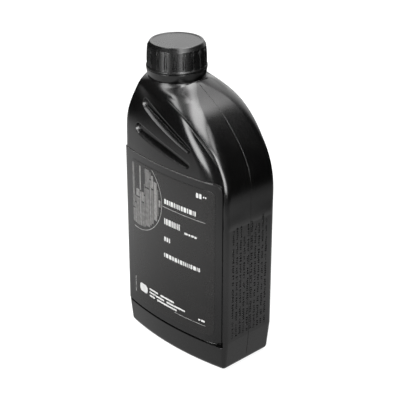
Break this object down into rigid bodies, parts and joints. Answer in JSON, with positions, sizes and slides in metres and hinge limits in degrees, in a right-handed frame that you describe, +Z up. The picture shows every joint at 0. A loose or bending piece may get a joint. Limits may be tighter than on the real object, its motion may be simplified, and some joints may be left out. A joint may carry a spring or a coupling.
{
  "type": "motor oil bottle",
  "caption": "Flat black one-litre motor oil bottle with an offset neck, sloping shoulder, finger recesses, labels and a ribbed screw cap.",
  "frame": {"origin": "centre of the bottle's outline on the plane it stands on", "axes": "+Z up along the bottle, -Y out of the front label, -X towards the side that the neck is offset to"},
  "size_m": [0.1097, 0.0624, 0.235],
  "materials": {
    "shell_plastic": "satin, blow-moulded",
    "cap_plastic": "satin, injection-moulded",
    "liner_foam": "matt foam",
    "label_film": "satin printed film",
    "oil": "clear amber liquid"
  },
  "bodies": {
    "bottle_body": {"bottle": "shell_plastic", "tamper_ring": "cap_plastic", "front_label": "label_film", "back_label": "label_film", "oil": "oil"},
    "liner_body": {"cap_liner": "liner_foam"},
    "cap_body": {"cap": "cap_plastic"}
  },
  "joints": [
    {"name": "cap_rise", "type": "slide", "parent": "bottle_body", "child": "liner_body", "axis": [0, 0, 1], "range_m": [0, 0.019]},
    {"name": "cap_turn", "type": "hinge", "parent": "liner_body", "child": "cap_body", "pos_m": [-0.0225, 0, 0.216], "axis": [0, 0, 1], "range_deg": [0, 1620]}
  ],
  "couplings": [
    {"joint": "cap_rise", "follows": "cap_turn", "m_per_rad": 0.00066845}
  ]
}
